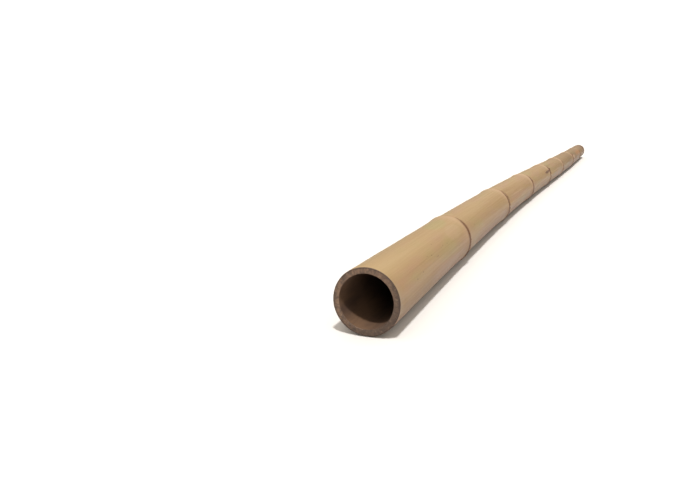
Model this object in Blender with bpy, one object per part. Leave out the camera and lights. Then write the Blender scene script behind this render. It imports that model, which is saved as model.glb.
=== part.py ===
"""A length of thick bamboo cane, sawn off square at both ends, lying on its side.

Metres, +Z up. The origin is on the surface it lies on, under the middle of its box. +X runs
along the cane from the butt, the thick end that stood lowest in the grove, to the tip.

The cane grew as one piece: a tapering tube with a wall across it at each node. On the outside
a node shows as a swelling that ends in a thin sheath scar, a step down, and a faint ridge
above it. A shallow groove runs tipward from each bud, and the buds change sides from node to
node. From the fourth node on the buds grew into pairs of branches, which are trimmed to stubs.
Each inner wall is pierced through its middle, as on canes treated against borers.
"""

import math

import bmesh
import bpy
from mathutils import Vector

LENGTH = 3.0
BUTT_RADIUS = 0.0428
TIP_RADIUS = 0.0314
BUTT_WALL = 0.0087
TIP_WALL = 0.0066

# Nodes, measured along the cane from the butt's sawn face.
NODE_STATIONS = (0.410, 0.847, 1.240, 1.609, 1.966, 2.343, 2.700)

# The node after the last would have grown this far past the tip's sawn face.
SAWN_OFF_NODE_PAST_TIP = 0.08

# The cane is a little crooked: one long bow and one slighter double bend, both level.
BOW_SIDEWAYS = 0.0146
DOUBLE_BEND_SIDEWAYS = 0.0079

# Relief of a node, as shares of the radius there and as lengths along the cane.
SWELLING = 0.034
SWELLING_REACH = 0.030
SCAR_BAND = 0.0040
STEP_LENGTH = 0.0016
STEP_NECK = -0.010
UPPER_RIDGE = 0.008
UPPER_RIDGE_AT = 0.014
UPPER_RIDGE_REACH = 0.009

# The groove above a bud, and the bud itself. Sides are degrees round the cane, from +Y up to +Z.
FIRST_BUD_SIDE = 325.0
GROOVE_DEPTH = 0.075
GROOVE_HALF_WIDTH = 34.0
GROOVE_FADE = 0.72
BUD_HEIGHT = 0.0022
BUD_LENGTH = 0.011
BUD_HALF_WIDTH = 11.0
BUD_AT = 0.009

# The trimmed branches: one thick and one thin at each branched node, leaning towards the tip.
# Each is its radius, its height when trimmed long, its place past the node and its turn in
# degrees from the bud's side.
FIRST_BRANCHED_NODE = 3
THICK_STUB = (0.0046, 0.0090, 0.0130, -4.0)
THIN_STUB = (0.0032, 0.0050, 0.0060, 7.0)
TRIMMED_SHARES = (1.0, 0.75, 0.35, 0.6)
STUB_LEAN_DEGREES = 30.0
STUB_ROOT = 0.0040
STUB_TIP_SHARE = 0.85
STUB_SIDES = 12

# A cane is never quite round.
OVAL = 0.006
OVAL_SIDE = 70.0

# The walls inside, at the nodes.
WALL_ACROSS_THICKNESS = 0.008
WALL_ACROSS_FILLET = 0.007
PIERCED_RADIUS = 0.006
THICKER_NEAR_NODE = 0.0016

# Where a node's swelling meets the ground it is worn flat by this much.
WORN_FLAT = 0.0004

# How finely the shape is cut into faces.
SIDES = 32
STATIONS_ROUND_NODE = (-0.075, -0.040, -0.018, -0.009)
STATIONS_PAST_NODE = (0.008, 0.014, 0.022, 0.045, 0.100)
MIDDLE_STATIONS_PER_INTERNODE = 2
SHARP_EDGE_DEGREES = 35.0

CANE_COLOUR = (0.62, 0.44, 0.235, 1.0)
CANE_ROUGHNESS = 0.42


def clear_scene():
    """Takes every object out of the open scene."""
    for thing in list(bpy.data.objects):
        bpy.data.objects.remove(thing, do_unlink=True)


def share_along(station):
    """How far along the cane a station is, from 0 at the butt to 1 at the tip."""
    return station / LENGTH


def plain_radius(station):
    """The outer radius that the taper alone gives."""
    return BUTT_RADIUS + (TIP_RADIUS - BUTT_RADIUS) * share_along(station)


def sideways(station):
    """How far the crooked cane's middle line lies towards +Y."""
    turn = math.pi * share_along(station)
    return BOW_SIDEWAYS * math.sin(turn) + DOUBLE_BEND_SIDEWAYS * math.sin(2.0 * turn)


def sideways_slope(station):
    """How much the middle line drifts towards +Y for each metre along."""
    turn = math.pi * share_along(station)
    bow = BOW_SIDEWAYS * math.cos(turn) + 2.0 * DOUBLE_BEND_SIDEWAYS * math.cos(2.0 * turn)
    return bow * math.pi / LENGTH


def bump(distance, reach):
    """A smooth hump: 1 at no distance, and near 0 at twice the reach."""
    return math.exp(-((distance / reach) ** 2))


def node_relief(station):
    """The share of the radius that the nodes' rings add at a station."""
    relief = 0.0
    for node in NODE_STATIONS:
        past = station - node
        if past <= 0.0:
            before_scar = max(0.0, -past - SCAR_BAND)
            relief += SWELLING * math.exp(-before_scar / SWELLING_REACH)
        else:
            stepped = min(1.0, past / STEP_LENGTH)
            neck = STEP_NECK * math.exp(-past / SWELLING_REACH)
            relief += SWELLING * (1.0 - stepped) + neck * stepped
            relief += UPPER_RIDGE * stepped * bump(past - UPPER_RIDGE_AT, UPPER_RIDGE_REACH)
    return relief


def bud_side(node_number):
    """The side of a node's bud in degrees, which changes from each node to the next."""
    return (FIRST_BUD_SIDE + 180.0 * node_number) % 360.0


def degrees_apart(one, other):
    """The angle between two sides of the cane, from 0 to 180."""
    return abs((one - other + 180.0) % 360.0 - 180.0)


def groove_relief(station, side):
    """The share of the radius that the grooves above the buds take away."""
    relief = 0.0
    following_nodes = (*NODE_STATIONS[1:], LENGTH + SAWN_OFF_NODE_PAST_TIP)
    for number, (node, following) in enumerate(zip(NODE_STATIONS, following_nodes)):
        past = (station - node) / (following - node)
        if not 0.0 < past < GROOVE_FADE:
            continue
        off = degrees_apart(side, bud_side(number)) / GROOVE_HALF_WIDTH
        if off < 1.0:
            across = 0.5 + 0.5 * math.cos(math.pi * off)
            fading = 0.5 + 0.5 * math.cos(math.pi * past / GROOVE_FADE)
            starting = min(1.0, (station - node) / STEP_LENGTH)
            relief -= GROOVE_DEPTH * across * fading * starting
    return relief


def bud_relief(station, side):
    """How far a bud stands out of the surface, in metres."""
    height = 0.0
    for number, node in enumerate(NODE_STATIONS):
        along = (station - node - BUD_AT) / BUD_LENGTH
        off = degrees_apart(side, bud_side(number)) / BUD_HALF_WIDTH
        height += BUD_HEIGHT * bump(along, 1.0) * bump(off, 1.0)
    return height


def outer_radius(station, side):
    """The outer radius at a station and side, with all the relief."""
    oval = OVAL * math.cos(math.radians(2.0 * (side - OVAL_SIDE)))
    share = 1.0 + node_relief(station) + groove_relief(station, side) + oval
    return plain_radius(station) * share + bud_relief(station, side)


def inner_radius(station):
    """The radius of the bore between the walls across it."""
    wall = BUTT_WALL + (TIP_WALL - BUTT_WALL) * share_along(station)
    for node in NODE_STATIONS:
        wall += THICKER_NEAR_NODE * bump(station - node, SWELLING_REACH)
    return plain_radius(station) - wall


def lying_height(station):
    """The height of the middle line: every node's ring sinks into its own worn flat."""
    return plain_radius(station) * (1.0 + SWELLING) - WORN_FLAT


def outer_stations():
    """Where the outside has a ring of points, from the butt to the tip."""
    stations = {0.0, LENGTH}
    edges = [0.0, *NODE_STATIONS, LENGTH]
    for node in NODE_STATIONS:
        offsets = (*STATIONS_ROUND_NODE, -SCAR_BAND, 0.0, STEP_LENGTH, *STATIONS_PAST_NODE)
        stations.update(node + offset for offset in offsets)
    for start, end in zip(edges[:-1], edges[1:]):
        gaps = MIDDLE_STATIONS_PER_INTERNODE + 1
        stations.update(start + (end - start) * step / gaps for step in range(1, gaps))
    return sorted(stations)


def inner_rings():
    """Station and radius of each ring inside, from the tip back to the butt."""
    rings = [(LENGTH, inner_radius(LENGTH))]
    half = WALL_ACROSS_THICKNESS / 2.0
    edges = [0.0, *NODE_STATIONS, LENGTH]
    for number in range(len(NODE_STATIONS), 0, -1):
        node = edges[number]
        above = (node + edges[number + 1]) / 2.0
        rings.append((above, inner_radius(above)))
        for direction in (1.0, -1.0):
            face = half + WALL_ACROSS_FILLET
            wall_foot = (node + direction * face, inner_radius(node + direction * face))
            fillet = (node + direction * half, inner_radius(node) - WALL_ACROSS_FILLET)
            hole = (node + direction * half, PIERCED_RADIUS)
            rings.extend((wall_foot, fillet, hole) if direction > 0.0 else (hole, fillet, wall_foot))
    lowest = NODE_STATIONS[0] / 2.0
    rings.extend(((lowest, inner_radius(lowest)), (0.0, inner_radius(0.0))))
    return rings


def side_of(step):
    """The side of a ring's point in degrees, set so that two points share the underside."""
    return (step + 0.5) * 360.0 / SIDES + 270.0


def place_on_cane(station, side, radius):
    """The point at a radius on a side of the cane, square to its middle line."""
    across = radius * math.cos(math.radians(side))
    height = lying_height(station) + radius * math.sin(math.radians(side))
    along = station - LENGTH / 2.0 - across * sideways_slope(station)
    return Vector((along, sideways(station) + across, height))


def ring_points(station, radius_at):
    """The points of one ring, none under the ground. radius_at gives the radius on a side."""
    points = []
    for step in range(SIDES):
        side = side_of(step) % 360.0
        point = place_on_cane(station, side, radius_at(side))
        point.z = max(0.0, point.z)
        points.append(point)
    return points


def cane_rings():
    """Every ring of the closed surface: out along the skin, and back through the bore."""
    rings = []
    for station in outer_stations():
        rings.append(ring_points(station, lambda side, at=station: outer_radius(at, side)))
    for station, radius in inner_rings():
        rings.append(ring_points(station, lambda side, same=radius: same))
    return rings


def loops_mesh(name, rings, closed):
    """A mesh that joins ring to ring. It is closed into a loop of rings, or capped at both ends."""
    building = bmesh.new()
    loops = [[building.verts.new(point) for point in ring] for ring in rings]
    following_loops = loops[1:] + loops[:1] if closed else loops[1:]
    for one, following in zip(loops, following_loops):
        for step in range(len(one)):
            beside = (step + 1) % len(one)
            building.faces.new((one[step], one[beside], following[beside], following[step]))
    if not closed:
        building.faces.new(loops[0])
        building.faces.new(loops[-1])
    bmesh.ops.recalc_face_normals(building, faces=building.faces)
    mesh = bpy.data.meshes.new(name)
    building.to_mesh(mesh)
    building.free()
    return mesh


def stub_mesh(node_number, stub, trimmed):
    """One trimmed branch: a short tapering peg rooted in the cane's wall."""
    radius, height, past_node, turn = stub
    station = NODE_STATIONS[node_number] + past_node
    side = bud_side(node_number) + turn
    foot = place_on_cane(station, side, outer_radius(station, side))
    outward = (foot - place_on_cane(station, side, 0.0)).normalized()
    lean = math.radians(STUB_LEAN_DEGREES)
    axis = (outward * math.cos(lean) + Vector((1.0, 0.0, 0.0)) * math.sin(lean)).normalized()
    turned = axis.to_track_quat("Z", "Y")
    rings = []
    for reach, share in ((-STUB_ROOT, 1.0), (height * trimmed, STUB_TIP_SHARE)):
        ring = []
        for step in range(STUB_SIDES):
            angle = 2.0 * math.pi * step / STUB_SIDES
            flat = Vector((math.cos(angle), math.sin(angle), 0.0)) * radius * share
            ring.append(foot + axis * reach + turned @ flat)
        rings.append(ring)
    return loops_mesh("stub", rings, closed=False)


def join_stubs(cane):
    """Unites the trimmed branches with the cane, so that it stays one solid."""
    stubs = bpy.data.collections.new("stubs")
    bpy.context.scene.collection.children.link(stubs)
    for trimmed, node_number in zip(TRIMMED_SHARES, range(FIRST_BRANCHED_NODE, len(NODE_STATIONS))):
        for stub in (THICK_STUB, THIN_STUB):
            stubs.objects.link(bpy.data.objects.new("stub", stub_mesh(node_number, stub, trimmed)))
    union = cane.modifiers.new("stubs", "BOOLEAN")
    union.operation = "UNION"
    union.solver = "EXACT"
    union.operand_type = "COLLECTION"
    union.collection = stubs
    evaluated = cane.evaluated_get(bpy.context.evaluated_depsgraph_get())
    joined = bpy.data.meshes.new_from_object(evaluated)
    cane.modifiers.remove(union)
    cane.data = joined
    for stub in list(stubs.objects):
        bpy.data.objects.remove(stub, do_unlink=True)
    bpy.data.collections.remove(stubs)


def centre_on_origin(mesh):
    """Moves the mesh level so that its box is centred over the origin."""
    for axis in (0, 1):
        places = [vertex.co[axis] for vertex in mesh.vertices]
        middle = (min(places) + max(places)) / 2.0
        for vertex in mesh.vertices:
            vertex.co[axis] -= middle


def cane_material():
    """Dry straw-coloured bamboo skin."""
    material = bpy.data.materials.new("dry_bamboo")
    material.use_nodes = True
    shader = material.node_tree.nodes["Principled BSDF"]
    shader.inputs["Base Color"].default_value = CANE_COLOUR
    shader.inputs["Roughness"].default_value = CANE_ROUGHNESS
    shader.inputs["Metallic"].default_value = 0.0
    return material


def make_cane():
    """Adds the cane to the scene."""
    cane = bpy.data.objects.new("bamboo_cane", loops_mesh("bamboo_cane", cane_rings(), closed=True))
    cane.data.materials.append(cane_material())
    bpy.context.scene.collection.objects.link(cane)
    join_stubs(cane)
    centre_on_origin(cane.data)
    cane.data.shade_smooth()
    cane.data.set_sharp_from_angle(angle=math.radians(SHARP_EDGE_DEGREES))


clear_scene()
make_cane()
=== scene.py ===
"""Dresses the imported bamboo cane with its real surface.

The cane lies along +X from its butt to its tip on a pale floor. The culm itself is a fine skin
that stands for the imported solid: a closed surface that runs out along the outside, over the
sawn tip, back through the bore and its inner walls, and over the sawn butt. The branch stubs,
a strip of old sheath, the fringe that the fallen sheaths left on the scars and the fibre ends
in the sawn faces are pieces of their own.
"""

from __future__ import annotations

import logging
import math
from dataclasses import dataclass, field
from enum import Enum

import bmesh
import bpy
import numpy as np
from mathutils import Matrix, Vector


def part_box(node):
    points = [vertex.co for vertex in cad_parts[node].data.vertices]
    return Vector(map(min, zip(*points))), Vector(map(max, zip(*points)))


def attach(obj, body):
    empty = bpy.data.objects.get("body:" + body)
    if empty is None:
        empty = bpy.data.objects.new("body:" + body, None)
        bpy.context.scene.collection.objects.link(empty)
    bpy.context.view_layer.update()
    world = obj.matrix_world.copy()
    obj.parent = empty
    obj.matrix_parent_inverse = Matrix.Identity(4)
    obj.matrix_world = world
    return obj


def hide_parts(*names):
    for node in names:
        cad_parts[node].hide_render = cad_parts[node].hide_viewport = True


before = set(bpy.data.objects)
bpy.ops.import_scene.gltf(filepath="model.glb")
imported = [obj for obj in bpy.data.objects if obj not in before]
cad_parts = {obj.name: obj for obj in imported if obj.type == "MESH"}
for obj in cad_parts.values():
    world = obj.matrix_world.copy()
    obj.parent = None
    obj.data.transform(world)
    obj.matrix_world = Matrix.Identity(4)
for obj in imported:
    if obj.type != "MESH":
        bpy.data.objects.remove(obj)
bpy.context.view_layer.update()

CANE_NODE = "bamboo_cane"
LOG = logging.getLogger("bamboo cane")

Socket = bpy.types.NodeSocket
Colour = tuple[float, float, float]
Triple = tuple[float, float, float]


class Part(Enum):
    """The kinds of surface on the culm."""

    SKIN = 0
    SAWN = 1
    BORE = 2


class End(Enum):
    """The two sawn ends of the cane."""

    BUTT = 0
    TIP = 1


def hump(distance: np.ndarray, reach: float) -> np.ndarray:
    """Gives 1 at no distance, falling smoothly to near 0 at twice the reach."""
    return np.exp(-((distance / reach) ** 2))


def linear(red: int, green: int, blue: int) -> Colour:
    """Turns a colour as a screen shows it, 0 to 255, into Blender's linear values.

    Args:
        red: How red it is.
        green: How green it is.
        blue: How blue it is.

    Returns:
        The linear values.
    """

    def one(value: int) -> float:
        """Turns one of the three."""
        share = value / 255.0
        return share / 12.92 if share <= 0.04045 else ((share + 0.055) / 1.055) ** 2.4

    return one(red), one(green), one(blue)


@dataclass(frozen=True)
class CulmForm:
    """The rules that the culm grew by, in metres, with stations measured from the butt."""

    length: float = 3.0
    butt_radius: float = 0.0428
    tip_radius: float = 0.0314
    butt_wall: float = 0.0080
    tip_wall: float = 0.0066
    nodes: tuple[float, ...] = (0.410, 0.847, 1.240, 1.609, 1.966, 2.343, 2.700)
    sawn_off_node_past_tip: float = 0.08
    bow: float = 0.0146
    double_bend: float = 0.0079
    swelling: float = 0.034
    swelling_reach: float = 0.030
    scar_band: float = 0.0040
    scar_lip: float = 0.00045
    lip_at: float = -0.0006
    lip_reach: float = 0.0007
    step_length: float = 0.0016
    step_neck: float = -0.010
    upper_ridge: float = 0.008
    upper_ridge_at: float = 0.014
    upper_ridge_reach: float = 0.009
    first_bud_side: float = 325.0
    groove_depth: float = 0.075
    groove_half_width: float = 34.0
    groove_fade: float = 0.72
    bud_height: float = 0.0022
    bud_length: float = 0.011
    bud_half_width: float = 11.0
    bud_at: float = 0.009
    oval: float = 0.006
    oval_side: float = 70.0
    inner_wall: float = 0.008
    inner_wall_fillet: float = 0.007
    pierced_radius: float = 0.006
    thicker_near_node: float = 0.0016
    worn_flat: float = 0.0004

    def share(self, station: np.ndarray) -> np.ndarray:
        """Gives how far along the cane a station is, from 0 at the butt to 1 at the tip."""
        return np.asarray(station, float) / self.length

    def radius(self, station: np.ndarray) -> np.ndarray:
        """Gives the outer radius that the taper alone makes."""
        return self.butt_radius + (self.tip_radius - self.butt_radius) * self.share(station)

    def bore(self, station: np.ndarray) -> np.ndarray:
        """Gives the radius of the bore, which narrows a little at each node.

        Args:
            station: Where to measure, in metres from the butt.

        Returns:
            The radius in metres.
        """
        wall = self.butt_wall + (self.tip_wall - self.butt_wall) * self.share(station)
        for node in self.nodes:
            wall = wall + self.thicker_near_node * hump(station - node, self.swelling_reach)
        return self.radius(station) - wall

    def sideways(self, station: np.ndarray) -> np.ndarray:
        """Gives how far the crooked middle line lies towards +Y."""
        turn = math.pi * self.share(station)
        return self.bow * np.sin(turn) + self.double_bend * np.sin(2.0 * turn)

    def slope(self, station: np.ndarray) -> np.ndarray:
        """Gives how much the middle line drifts towards +Y for each metre along."""
        turn = math.pi * self.share(station)
        return (self.bow * np.cos(turn) + 2.0 * self.double_bend * np.cos(2.0 * turn)) * math.pi / self.length

    def height(self, station: np.ndarray) -> np.ndarray:
        """Gives the height of the middle line above the floor."""
        return self.radius(station) * (1.0 + self.swelling) - self.worn_flat

    def ring_relief(self, station: np.ndarray) -> np.ndarray:
        """Gives what the rings at the nodes add to the radius.

        Args:
            station: Where to measure, in metres from the butt.

        Returns:
            The addition in metres: a swelling, the sheath scar's thin lip, the step down
            after it and the faint ridge above it.
        """
        share = np.zeros_like(station)
        lip = np.zeros_like(station)
        for node in self.nodes:
            past = station - node
            before = past <= 0.0
            rising = self.swelling * np.exp(-np.maximum(0.0, -past - self.scar_band) / self.swelling_reach)
            stepped = np.clip(past / self.step_length, 0.0, 1.0)
            fading = np.exp(-np.maximum(past, 0.0) / self.swelling_reach)
            ridge = self.upper_ridge * hump(past - self.upper_ridge_at, self.upper_ridge_reach)
            after = self.swelling * (1.0 - stepped) + (self.step_neck * fading + ridge) * stepped
            share += np.where(before, rising, after)
            lip += self.scar_lip * hump(past - self.lip_at, self.lip_reach)
        return share * self.radius(station) + lip

    def outer(self, station: np.ndarray) -> np.ndarray:
        """Gives the outer radius with the rings' relief."""
        return self.radius(station) + self.ring_relief(station)

    def groove(self, station: np.ndarray, odd: bool) -> np.ndarray:
        """Gives how deep the grooves above the buds of one side are.

        Args:
            station: Where to measure, in metres from the butt.
            odd: Whether to take the second, fourth and sixth nodes, or the others.

        Returns:
            The depth in metres in the groove's middle.
        """
        depth = np.zeros_like(station)
        following_nodes = (*self.nodes[1:], self.length + self.sawn_off_node_past_tip)
        for number, (node, following) in enumerate(zip(self.nodes, following_nodes)):
            if number % 2 == int(odd):
                past = np.clip((station - node) / (following - node) / self.groove_fade, 0.0, 1.0)
                starting = np.clip((station - node) / self.step_length, 0.0, 1.0)
                depth += (0.5 + 0.5 * np.cos(math.pi * past)) * starting
        return depth * self.groove_depth * self.radius(station)

    def bud(self, station: np.ndarray, odd: bool) -> np.ndarray:
        """Gives how far the buds of one side stand out of the surface, in metres.

        Args:
            station: Where to measure, in metres from the butt.
            odd: Whether to take the second, fourth and sixth nodes, or the others.

        Returns:
            The height in metres.
        """
        height = np.zeros_like(station)
        for number, node in enumerate(self.nodes):
            if number % 2 == int(odd):
                height += self.bud_height * hump(station - node - self.bud_at, self.bud_length)
        return height

    def bud_side(self, number: int) -> float:
        """Gives the side of a node's bud in degrees round the cane, from +Y up to +Z."""
        return (self.first_bud_side + 180.0 * number) % 360.0

    def near_node(self, station: np.ndarray, reach: float) -> np.ndarray:
        """Gives 1 on a node's scar, falling to 0 away from it."""
        return sum(hump(station - node, reach) for node in self.nodes)


def keep_vectors(mesh: bpy.types.Mesh, name: str, values: np.ndarray) -> None:
    """Keeps a vector for each point of a mesh under a name."""
    layer = mesh.attributes.new(name, "FLOAT_VECTOR", "POINT")
    layer.data.foreach_set("vector", np.asarray(values, np.float32).ravel())


class Value:
    """What one output in a node tree gives, which can be written in sums."""

    def __init__(self, nodes: Nodes, socket: Socket) -> None:
        """Keeps the tree and the output."""
        self.nodes = nodes
        self.socket = socket

    def __add__(self, other: Value | float) -> Value:
        """Gives the sum."""
        return self.nodes.sum("ADD", self, other)

    def __sub__(self, other: Value | float) -> Value:
        """Gives the difference."""
        return self.nodes.sum("SUBTRACT", self, other)

    def __rsub__(self, other: float) -> Value:
        """Gives a plain number less this one."""
        return self.nodes.sum("SUBTRACT", other, self)

    def __mul__(self, other: Value | float) -> Value:
        """Gives the product."""
        return self.nodes.sum("MULTIPLY", self, other)

    def __truediv__(self, other: Value | float) -> Value:
        """Gives the quotient."""
        return self.nodes.sum("DIVIDE", self, other)

    def beside(self, name: str) -> Value:
        """Gives another output of the same node."""
        return Value(self.nodes, self.socket.node.outputs[name])


class Nodes:
    """A node tree under construction, with short calls for its nodes."""

    def __init__(self, tree: bpy.types.NodeTree) -> None:
        """Takes up a tree."""
        self.tree = tree

    def feed(self, entry: Socket, value: Value | float | tuple) -> None:
        """Links a value to an input, or sets the input where the value is a plain one.

        Args:
            entry: The input.
            value: What it is fed.
        """
        if isinstance(value, Value):
            self.tree.links.new(value.socket, entry)
        else:
            entry.default_value = value

    def node(self, kind: str, inputs: dict | None = None, out: int | str = 0, **settings: str) -> Value:
        """Adds a node.

        Args:
            kind: The node's type.
            inputs: What its inputs are fed, by their names or numbers.
            out: The name or number of the output to give.
            **settings: Properties to set on it first.

        Returns:
            The output.
        """
        node = self.tree.nodes.new(kind)
        for name, setting in settings.items():
            setattr(node, name, setting)
        for key, value in (inputs or {}).items():
            self.feed(node.inputs[key], value)
        return Value(self, node.outputs[out])

    def sum(self, operation: str, *terms: Value | float) -> Value:
        """Adds one step of arithmetic and gives its result."""
        return self.node("ShaderNodeMath", dict(enumerate(terms)), operation=operation)

    def vectors(self, operation: str, inputs: dict, out: str = "Vector") -> Value:
        """Adds one step of arithmetic on vectors and gives its result."""
        return self.node("ShaderNodeVectorMath", inputs, out, operation=operation)

    def split(self, vector: Value) -> tuple[Value, ...]:
        """Splits a vector in its three numbers."""
        x = self.node("ShaderNodeSeparateXYZ", {0: vector})
        return x, x.beside("Y"), x.beside("Z")

    def step(self, value: Value, low: float, high: float) -> Value:
        """Gives 0 below low, 1 above high and a smooth rise between."""
        inputs = {"Value": value, "From Min": low, "From Max": high}
        return self.node("ShaderNodeMapRange", inputs, interpolation_type="SMOOTHSTEP")

    def noise(self, place: Value, scale: float, detail: float = 3.0, roughness: float = 0.5) -> Value:
        """Gives an even noise from 0 to 1."""
        inputs = {"Vector": place, "Scale": scale, "Detail": detail, "Roughness": roughness}
        return self.node("ShaderNodeTexNoise", inputs)


class Graph(Nodes):
    """A geometry tree under construction, with short calls for its steps."""

    def __init__(self, name: str) -> None:
        """Starts a tree that takes a geometry in and gives one out.

        Args:
            name: The tree's name.
        """
        super().__init__(bpy.data.node_groups.new(name, "GeometryNodeTree"))
        for way in ("INPUT", "OUTPUT"):
            self.tree.interface.new_socket("Geometry", in_out=way, socket_type="NodeSocketGeometry")
        self.entry = self.tree.nodes.new("NodeGroupInput")
        self.exit = self.tree.nodes.new("NodeGroupOutput")
        self.values: dict[str, float | int] = {}

    @property
    def geometry(self) -> Value:
        """The geometry that the tree is given."""
        return Value(self, self.entry.outputs["Geometry"])

    def size(self, name: str, value: float | int) -> Value:
        """Adds a named input for a size or a count.

        Args:
            name: The input's name.
            value: What it is set to.

        Returns:
            What the input gives.
        """
        kind = "NodeSocketInt" if isinstance(value, int) else "NodeSocketFloat"
        self.tree.interface.new_socket(name, in_out="INPUT", socket_type=kind)
        self.values[name] = value
        return Value(self, self.entry.outputs[name])

    def vector(self, x: Value | float, y: Value | float, z: Value | float) -> Value:
        """Joins three numbers in a vector."""
        return self.node("ShaderNodeCombineXYZ", {0: x, 1: y, 2: z})

    def scaled(self, vector: Value, amount: Value) -> Value:
        """Gives a vector times a number."""
        return self.vectors("SCALE", {0: vector, "Scale": amount})

    def clamped(self, value: Value, low: float = 0.0) -> Value:
        """Keeps a number between low and 1."""
        return self.sum("MINIMUM", self.sum("MAXIMUM", value, low), 1.0)

    def attribute(self, name: str, kind: str = "FLOAT_VECTOR") -> Value:
        """Reads a named attribute of the geometry."""
        return self.node("GeometryNodeInputNamedAttribute", {"Name": name}, data_type=kind)

    def sampled(self, value: Value, index: Value) -> Value:
        """Reads a vector at one point of the geometry that the tree is given."""
        inputs = {0: self.geometry, "Value": value, "Index": index}
        return self.node("GeometryNodeSampleIndex", inputs, data_type="FLOAT_VECTOR", domain="POINT")

    def stored(self, geometry: Value, name: str, value: Value, kind: str = "FLOAT_VECTOR") -> Value:
        """Keeps a value on the geometry's points under a name."""
        inputs = {0: geometry, "Name": name, "Value": value}
        return self.node("GeometryNodeStoreNamedAttribute", inputs, data_type=kind, domain="POINT")

    def placed(self, geometry: Value, place: Value) -> Value:
        """Moves the geometry's points to a place that isn't under the floor.

        Args:
            geometry: What to move.
            place: Where each point goes.

        Returns:
            The moved geometry.
        """
        x, y, z = self.split(place)
        above = self.vector(x, y, self.sum("MAXIMUM", z, 0.0))
        return self.node("GeometryNodeSetPosition", {0: geometry, "Position": above})

    def drawn(self, low: Triple, high: Triple, seed: Value) -> Value:
        """Draws a vector between two for each point."""
        return self.node("FunctionNodeRandomValue", {0: low, 1: high, "Seed": seed}, data_type="FLOAT_VECTOR")

    def peg(self, sides: int, top: Value | float, bottom: Value, height: Value) -> Value:
        """Makes a small peg."""
        inputs = {"Vertices": sides, "Radius Top": top, "Radius Bottom": bottom, "Depth": height}
        return self.node("GeometryNodeMeshCone", inputs, "Mesh")

    def real(self, geometry: Value) -> Value:
        """Makes all instances real."""
        return self.node("GeometryNodeRealizeInstances", {0: geometry})

    def set_on(self, points: Value, shape: Value, turn: Value, scale: Value) -> Value:
        """Sets a shape on every point."""
        inputs = {"Points": points, "Instance": shape, "Rotation": turn, "Scale": scale}
        return self.real(self.node("GeometryNodeInstanceOnPoints", inputs))

    def dressed(self, geometry: Value, material: bpy.types.Material, chosen: Value | bool = True) -> Value:
        """Sets a material on what is chosen of the geometry."""
        inputs = {0: geometry, "Selection": chosen, "Material": material}
        return self.node("GeometryNodeSetMaterial", inputs)

    def grow(self, geometry: Value, name: str, base: bpy.types.Mesh) -> bpy.types.Object:
        """Runs the tree on a mesh and keeps the result as a plain mesh.

        Args:
            geometry: What the tree gives out.
            name: The new object's name.
            base: The mesh that the tree starts from.

        Returns:
            An object at the origin with no modifier.
        """
        self.feed(self.exit.inputs["Geometry"], geometry)
        piece = bpy.data.objects.new(name, base)
        bpy.context.scene.collection.objects.link(piece)
        modifier = piece.modifiers.new(name, "NODES")
        modifier.node_group = self.tree
        for item in self.tree.interface.items_tree:
            if item.item_type == "SOCKET" and item.in_out == "INPUT" and item.name in self.values:
                modifier[item.identifier] = self.values[item.name]
        evaluated = piece.evaluated_get(bpy.context.evaluated_depsgraph_get())
        mesh = bpy.data.meshes.new_from_object(evaluated)
        piece.modifiers.remove(modifier)
        piece.data = mesh
        mesh.name = name
        return piece


class Finish(Nodes):
    """A material under construction, with short calls for its patterns."""

    def __init__(self, name: str, roughness: float) -> None:
        """Starts a material with a Principled shader.

        Args:
            name: The material's name.
            roughness: How rough it is, from 0 to 1.
        """
        self.material = bpy.data.materials.new(name)
        self.material.use_nodes = True
        super().__init__(self.material.node_tree)
        self.shader = self.tree.nodes["Principled BSDF"]
        self.shader.inputs["Roughness"].default_value = roughness

    def attribute(self, name: str) -> Value:
        """Reads a named attribute of the piece's mesh."""
        return self.node("ShaderNodeAttribute", None, "Vector", attribute_name=name)

    def mapped(self, place: Value, scale: Triple) -> Value:
        """Gives a place with each direction scaled."""
        return self.node("ShaderNodeMapping", {"Vector": place, "Scale": scale})

    def grained(self, along: float, across: float, detail: float = 3.0, roughness: float = 0.55) -> Value:
        """Gives a noise on the straightened grain, by its scales along and across it."""
        place = self.mapped(self.attribute("grain"), (along, across, across))
        return self.noise(place, 1.0, detail, roughness)

    def cells(self, along: float, across: float) -> Value:
        """Gives how far the middle of the nearest of many cells on the grain is."""
        place = self.mapped(self.attribute("grain"), (along, across, across))
        return self.node("ShaderNodeTexVoronoi", {"Vector": place, "Scale": 1.0}, "Distance", feature="F1")

    def within(self, mark: Mark) -> Value:
        """Gives 1 in the middle of a mark on the straightened grain, fading to 0 at its edge.

        Args:
            mark: The mark.

        Returns:
            How much of it shows.
        """
        away = self.vectors("SUBTRACT", {0: self.attribute("grain"), 1: mark.middle})
        reach = (1.0 / mark.length, 1.0 / mark.width, 1.0 / mark.width)
        away = self.vectors("MULTIPLY", {0: away, 1: reach})
        return self.step(self.vectors("LENGTH", {0: away}, "Value"), 1.15, 0.75)

    def painted(self, ground: Colour, coats: list[tuple[Value, Colour]]) -> None:
        """Lays coats of colour over a ground.

        Args:
            ground: The colour under all of them.
            coats: How much of each coat shows, from 0 to 1, and its colour, from the lowest up.
        """
        colour = (*ground, 1.0)
        for share, coat in coats:
            colour = self.node("ShaderNodeMix", {0: share, 6: colour, 7: (*coat, 1.0)}, 2, data_type="RGBA")
        self.feed(self.shader.inputs["Base Color"], colour)

    def bumped(self, height: Value, distance: float, strength: float) -> None:
        """Adds relief too fine for the mesh over what there is of it.

        Args:
            height: The relief's pattern.
            distance: Its height in metres.
            strength: How much of it counts.
        """
        entry = self.shader.inputs["Normal"]
        bump = self.node("ShaderNodeBump", {"Height": height, "Distance": distance, "Strength": strength})
        if entry.is_linked:
            self.tree.links.new(entry.links[0].from_socket, bump.socket.node.inputs["Normal"])
        self.feed(entry, bump)


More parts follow.
